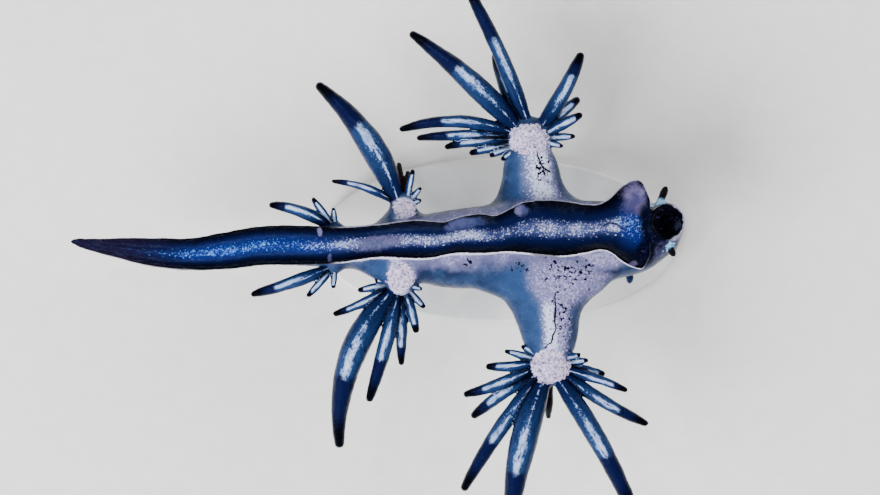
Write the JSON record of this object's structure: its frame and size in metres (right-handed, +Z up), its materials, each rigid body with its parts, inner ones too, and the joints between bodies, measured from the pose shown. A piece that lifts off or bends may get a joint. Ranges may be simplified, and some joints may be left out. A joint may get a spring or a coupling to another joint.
{
  "type": "blue dragon sea slug model",
  "caption": "Life-size still model of a blue dragon sea slug floating foot side up, with fans of pointed cerata on stubby arms, held over a flat oval base by short rods.",
  "frame": {"origin": "middle of the underside of the display stand's base, on the supporting surface", "axes": "+X from tail to head along the body, +Y to the animal's right side, +Z up; the foot faces up as the animal floats"},
  "size_m": [0.04, 0.0364, 0.0121],
  "materials": {
    "sole": "wet glossy navy with a silver-blue speckled band along the middle and a thin pale raised edge",
    "skin": "wet silvery lavender-white, shading to steel blue low on the flank, with fine dark specks",
    "cerata": "wet steel blue with a silver-white speckled stripe and navy to black root and tip",
    "stand_base": "fine matte pale grey",
    "stand_rods": "brushed"
  },
  "bodies": {
    "root": {"head": "skin", "neck": "skin", "trunk_front": "skin", "trunk_rear": "skin", "tail_base": "skin", "tail_middle": "skin", "tail_tip": "sole", "foot_front": "sole", "foot_middle": "sole", "foot_rear": "sole", "foot_tail": "sole", "arm_front_right": "skin", "arm_front_left": "skin", "arm_middle_right": "skin", "arm_middle_left": "skin", "cerata_front_left_hind": "cerata", "cerata_front_left_mid": "cerata", "cerata_front_left_fore": "cerata", "cerata_front_right_hind": "cerata", "cerata_front_right_mid": "cerata", "cerata_front_right_fore": "cerata", "cerata_middle_left_hind": "cerata", "cerata_middle_left_fore": "cerata", "cerata_middle_right_hind": "cerata", "cerata_middle_right_fore": "cerata", "cerata_rear_left": "cerata", "cerata_rear_right": "cerata", "stand_base": "stand_base", "stand_rod_front": "stand_rods", "stand_rod_rear": "stand_rods"}
  },
  "joints": []
}
